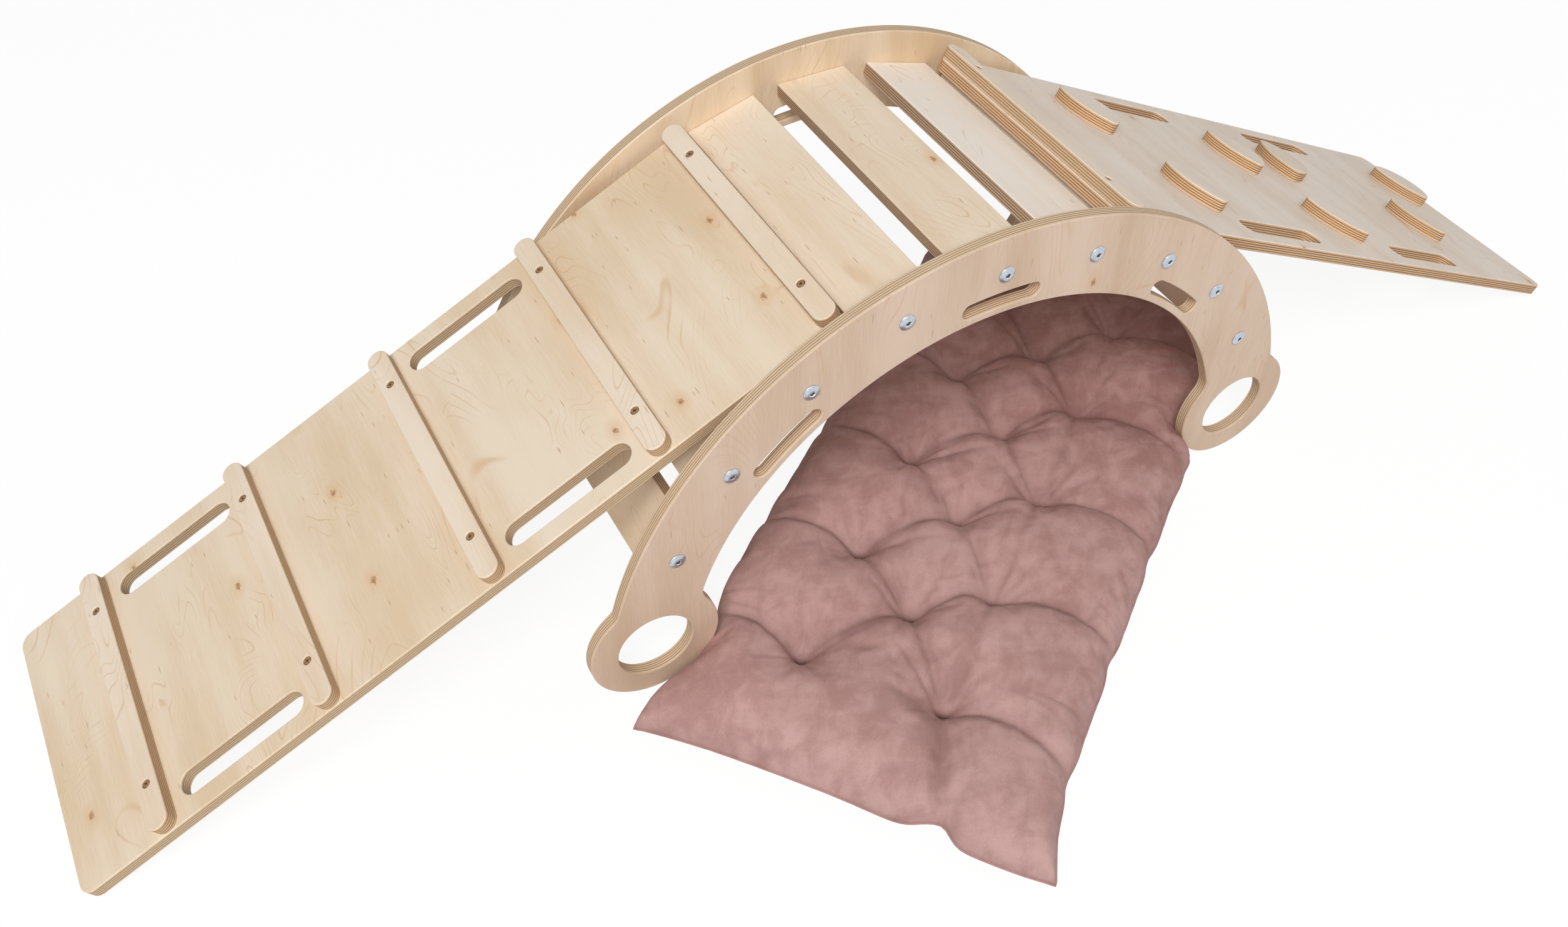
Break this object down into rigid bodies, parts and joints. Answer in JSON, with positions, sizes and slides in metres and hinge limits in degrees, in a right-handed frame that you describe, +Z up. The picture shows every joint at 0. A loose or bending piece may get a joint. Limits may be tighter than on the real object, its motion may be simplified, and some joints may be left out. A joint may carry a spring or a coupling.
{
  "type": "climbing arch rocker with ramps and cushion",
  "caption": "Plywood climbing arch that turns over into a rocker, with slats between two curved side panels, a ladder ramp, a climbing ramp and a tufted velvet cushion.",
  "frame": {"origin": "on the floor, at the middle of the set's footprint", "axes": "+Z up, +X from the ladder ramp to the climbing ramp, +Y from the near side to the far side"},
  "size_m": [1.9828, 0.8996, 0.4688],
  "materials": {
    "panel_plywood": "clear satin lacquer on birch plywood",
    "slat_plywood": "clear satin lacquer on birch plywood",
    "ramp_plywood": "clear satin lacquer on birch plywood",
    "climbing_plywood": "clear satin lacquer on birch plywood",
    "rung_plywood": "clear satin lacquer on birch plywood",
    "hold_plywood": "clear satin lacquer on birch plywood",
    "zinc_steel": "bright zinc",
    "screw_steel": "dull steel",
    "velvet": "dusty pink velvet"
  },
  "bodies": {
    "arch": {"near_side_panel": "panel_plywood", "far_side_panel": "panel_plywood", "slat_1": "slat_plywood", "slat_2": "slat_plywood", "slat_3": "slat_plywood", "slat_4": "slat_plywood", "slat_5": "slat_plywood", "slat_6": "slat_plywood", "slat_7": "slat_plywood", "slat_8": "slat_plywood", "slat_9": "slat_plywood", "near_bolt_1": "zinc_steel", "near_bolt_2": "zinc_steel", "near_bolt_3": "zinc_steel", "near_bolt_4": "zinc_steel", "near_bolt_5": "zinc_steel", "near_bolt_6": "zinc_steel", "near_bolt_7": "zinc_steel", "near_bolt_8": "zinc_steel", "near_bolt_9": "zinc_steel", "far_bolt_1": "zinc_steel", "far_bolt_2": "zinc_steel", "far_bolt_3": "zinc_steel", "far_bolt_4": "zinc_steel", "far_bolt_5": "zinc_steel", "far_bolt_6": "zinc_steel", "far_bolt_7": "zinc_steel", "far_bolt_8": "zinc_steel", "far_bolt_9": "zinc_steel"},
    "ladder_ramp": {"ladder_board": "ramp_plywood", "ladder_rung_1": "rung_plywood", "ladder_rung_2": "rung_plywood", "ladder_rung_3": "rung_plywood", "ladder_rung_4": "rung_plywood", "ladder_rung_5": "rung_plywood", "ladder_screw_1": "screw_steel", "ladder_screw_2": "screw_steel", "ladder_screw_3": "screw_steel", "ladder_screw_4": "screw_steel", "ladder_screw_5": "screw_steel", "ladder_screw_6": "screw_steel", "ladder_screw_7": "screw_steel", "ladder_screw_8": "screw_steel", "ladder_screw_9": "screw_steel", "ladder_screw_10": "screw_steel", "ladder_hook_batten": "rung_plywood"},
    "climbing_ramp": {"climbing_board": "climbing_plywood", "climbing_top_rung": "rung_plywood", "climbing_screw_1": "screw_steel", "climbing_screw_2": "screw_steel", "climbing_hold_1": "hold_plywood", "climbing_hold_2": "hold_plywood", "climbing_hold_3": "hold_plywood", "climbing_hold_4": "hold_plywood", "climbing_hold_5": "hold_plywood", "climbing_hold_6": "hold_plywood", "climbing_hold_7": "hold_plywood", "climbing_hook_batten": "rung_plywood"},
    "cushion": {"cushion": "velvet"}
  },
  "joints": [
    {"name": "ladder_lift_off", "type": "slide", "parent": "arch", "child": "ladder_ramp", "axis": [0, 0, 1], "range_m": [0, 0.5]},
    {"name": "climbing_ramp_lift_off", "type": "slide", "parent": "arch", "child": "climbing_ramp", "axis": [0, 0, 1], "range_m": [0, 0.5]},
    {"name": "cushion_lift_clear", "type": "slide", "parent": "arch", "child": "cushion", "axis": [0, 0, -1], "range_m": [0, 0.5]}
  ]
}
